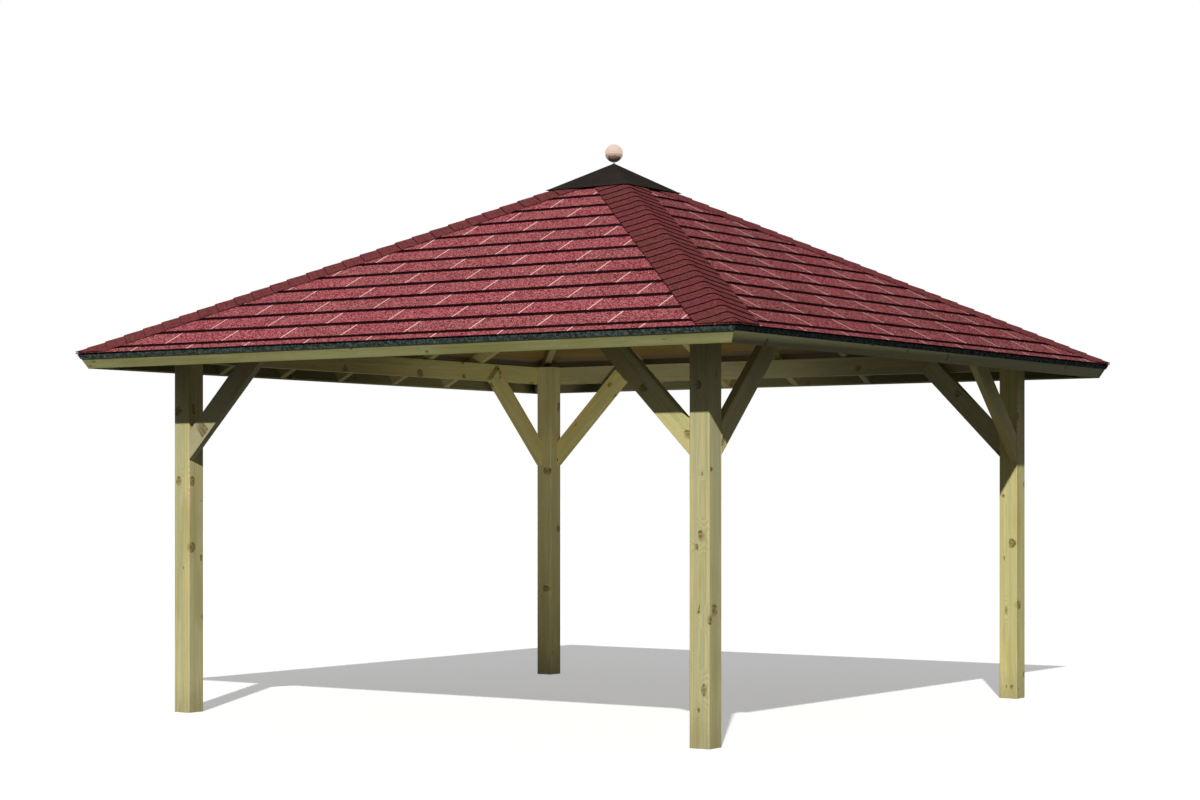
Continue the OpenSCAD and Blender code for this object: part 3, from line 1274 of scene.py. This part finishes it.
@dataclass
class CapAndBall:
    """The folded sheet cap and the copper ball on it."""

    paints: Paintbox
    sheet: float = 0.002
    crease: float = 0.004
    hem: float = 0.014
    hem_fold: float = 0.001
    stud: float = 0.008
    rings: int = 48
    rounds: int = 64
    seam: float = 0.0012
    seam_width: float = 0.0016

    def cap(self) -> None:
        """Builds the sheet cap with a doubled hem along its edges."""
        low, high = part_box("roof_cap")
        half = high.x
        grade = (high.z - low.z) / half
        slant, inner = math.hypot(1, grade), half - self.hem

        def face(out: float, layers: int) -> tuple[float, float]:
            """How far out a point on the sheet lies and how high, some layers from its middle."""
            return out, high.z - out * grade - (2 - layers) * self.sheet * 0.5 * slant

        outline = [face(0.0, 1), face(inner, 1), face(inner + self.hem_fold, 2), face(half, 2),
                   (half, low.z), face(inner, -1), face(0.0, -1)]
        mesh = turned([(out * math.sqrt(2), level) for out, level in outline], 4, math.pi / 4)
        with reworked(mesh) as work:
            peak = max(work.verts, key=lambda vertex: vertex.co.z)
            bevel(work, list(peak.link_edges), self.crease, 2)
        settle("folded_cap", mesh, self.paints["dark_sheet"], Slot.CAP, "roof_cap", smooth=20.0)

    def ball(self) -> None:
        """Builds the ball from two spun halves with a seam, on its stud."""
        low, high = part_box("finial_ball")
        radius = high.x
        centre = high.z - radius
        start = math.asin(self.stud / radius)
        outline = [(0.0, low.z), (self.stud, low.z)]
        for k in range(self.rings + 1):
            angle = start + (math.pi - start) * k / self.rings
            height = -math.cos(angle) * radius
            dip = self.seam * math.exp(-(height / self.seam_width) ** 2)
            outline.append((max(math.sin(angle) * radius - dip, 0.0), centre + height))
        mesh = turned(outline, self.rounds)
        settle("spun_ball", mesh, self.paints["spun_copper"], Slot.BALL, "finial_ball", smooth=40.0)

    def build(self) -> None:
        """Builds the cap and the ball."""
        self.cap()
        self.ball()


@dataclass(frozen=True)
class Panel:
    """A dim square panel under the roof, for what the large lamp leaves dark."""

    name: str
    place: Triple
    direction: Triple
    side: float
    spread: float
    power: float
    colour: Triple = (1.0, 0.93, 0.72)

    def build(self) -> None:
        """Hangs the panel, out of the camera's sight."""
        light = bpy.data.lights.new(self.name, "AREA")
        light.shape, light.size = "SQUARE", self.side
        light.energy, light.spread, light.color = self.power, self.spread, self.colour
        panel = show(self.name, light)
        panel.location = self.place
        panel.rotation_euler = Vector(self.direction).to_track_quat("-Z", "Y").to_euler()
        panel.visible_camera = False


@dataclass(frozen=True)
class Studio:
    """Pale floor, soft sky, one large lamp, two dim panels and the camera."""

    paints: Paintbox
    camera_place: Triple = (8.388, -12.195, 1.297)
    camera_turn: float = math.radians(34.12)
    lens: float = 72.73
    shift: tuple[float, float] = (-0.02575, 0.07675)
    sun_direction: Triple = (0.573, -1.0, 0.915)
    sun_strength: float = 3.9
    sun_spread: float = math.radians(0.9)
    sun_colour: Triple = (1.0, 0.985, 0.955)
    sky_strength: float = 0.14
    floor_reach: float = 400.0
    panels: tuple[Panel, ...] = (
        Panel("low_panel", (0.0, 0.0, 0.03), (0.0, 0.0, 1.0), 3.4, math.pi, 6.5),
        Panel("aimed_panel", (1.35, -1.35, 0.5), (-0.64, 0.76, 0.26), 0.7, math.radians(56), 6.0))

    def sky(self) -> None:
        """A plain white sky that lights softly."""
        world = bpy.data.worlds.new("studio")
        world.use_nodes = True
        graph, background = Graph(world.node_tree), world.node_tree.nodes["Background"]
        path = graph.outputs("ShaderNodeLightPath")
        seen = path["Is Camera Ray"].most(path["Is Glossy Ray"])
        graph.feed(background.inputs["Color"], (1.0, 1.0, 1.0))
        graph.feed(background.inputs["Strength"], seen.spread(0.0, 1.0, self.sky_strength, 1.0))
        bpy.context.scene.world = world

    def floor(self) -> None:
        """A pale floor that runs out of sight."""
        reach, mesh = self.floor_reach, bpy.data.meshes.new("floor")
        mesh.from_pydata([(-reach, -reach, 0), (reach, -reach, 0), (reach, reach, 0),
                          (-reach, reach, 0)], [], [(0, 1, 2, 3)])
        mesh.materials.append(self.paints["pale_floor"])
        show("floor", mesh)

    def lamp(self) -> None:
        """The large lamp high behind the camera."""
        light = bpy.data.lights.new("key", "SUN")
        light.energy, light.angle, light.color = self.sun_strength, self.sun_spread, self.sun_colour
        lamp = show("key", light)
        lamp.visible_glossy = False
        lamp.rotation_euler = Vector(self.sun_direction).to_track_quat("Z", "Y").to_euler()

    def camera(self) -> None:
        """The camera, level, at chest height."""
        data = bpy.data.cameras.new("camera")
        data.lens, data.sensor_width, data.clip_end = self.lens, 36.0, 2000.0
        data.shift_x, data.shift_y = self.shift
        camera = show("camera", data)
        camera.location = self.camera_place
        camera.rotation_euler = (QUARTER, 0.0, self.camera_turn)
        bpy.context.scene.camera = camera

    def build(self) -> None:
        """Sets up the studio."""
        bpy.context.scene.view_settings.view_transform = "Standard"
        self.sky()
        self.floor()
        self.lamp()
        for panel in self.panels:
            panel.build()
        self.camera()


def write_sizes() -> None:
    """Updates the view layer."""
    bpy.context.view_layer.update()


def main() -> None:
    """Builds the gazebo, its finishes and the studio."""
    logging.basicConfig(level=logging.INFO, format="%(name)s: %(message)s")
    paints, slope, tree = Paintbox(), Slope(), courses_tree()
    for assembly in (Studio(paints), TimberFrame(paints), RoofFrame(paints, slope),
                     RoofDeck(paints, slope, tree), ShingleField(paints, slope, tree),
                     HipCapping(paints, slope, tree), CapAndBall(paints)):
        log.info("building %s", type(assembly).__name__)
        assembly.build()
    write_sizes()


if __name__ == "__main__":
    main()
